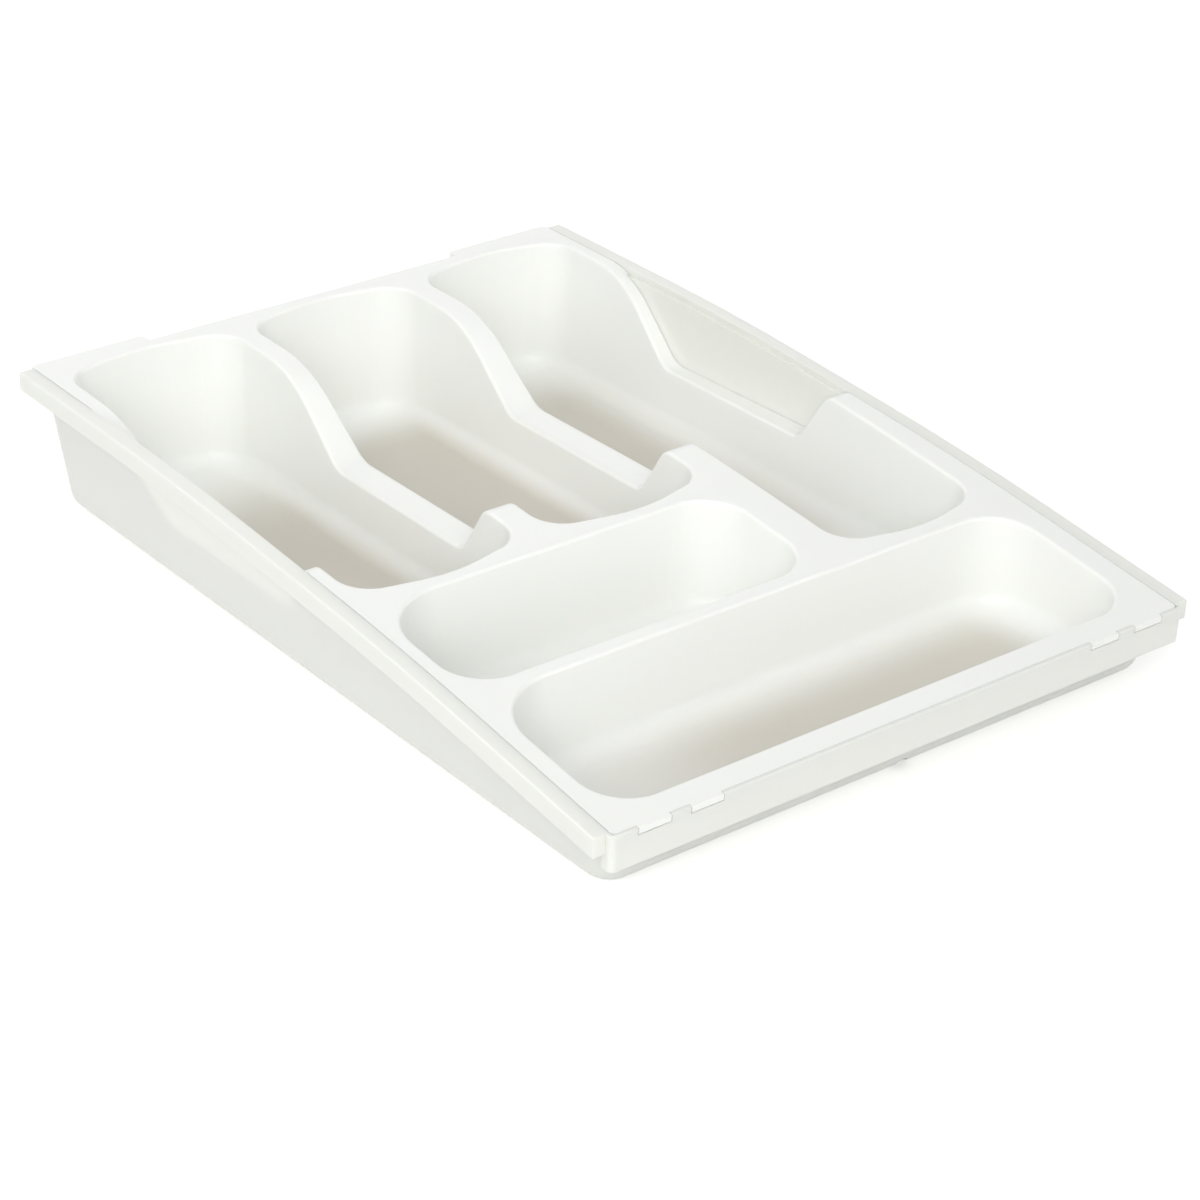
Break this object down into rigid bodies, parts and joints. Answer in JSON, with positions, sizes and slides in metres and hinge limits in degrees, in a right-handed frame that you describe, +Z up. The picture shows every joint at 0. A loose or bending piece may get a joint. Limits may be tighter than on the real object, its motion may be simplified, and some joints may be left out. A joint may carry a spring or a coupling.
{
  "type": "cutlery tray",
  "caption": "Wedge-shaped cutlery tray: a loose white insert with long and cross compartments and a hand scoop, dropped into a translucent tub with side rails.",
  "frame": {"origin": "on the flat base, straight below the middle between the ends of the rails", "axes": "+Z up from the base, +Y along the length towards the deep end with the long compartments, +X across to the side with the full-length compartment"},
  "size_m": [0.276, 0.403, 0.0616],
  "materials": {
    "tub_plastic": "satin translucent white polypropylene",
    "insert_plastic": "glossy opaque white polypropylene"
  },
  "bodies": {
    "tub": {"outer_tub": "tub_plastic"},
    "insert": {"compartment_insert": "insert_plastic"}
  },
  "joints": [
    {"name": "insert_lift", "type": "slide", "parent": "tub", "child": "insert", "axis": [0, -0.0811, 0.9967], "range_m": [0, 0.07]}
  ]
}
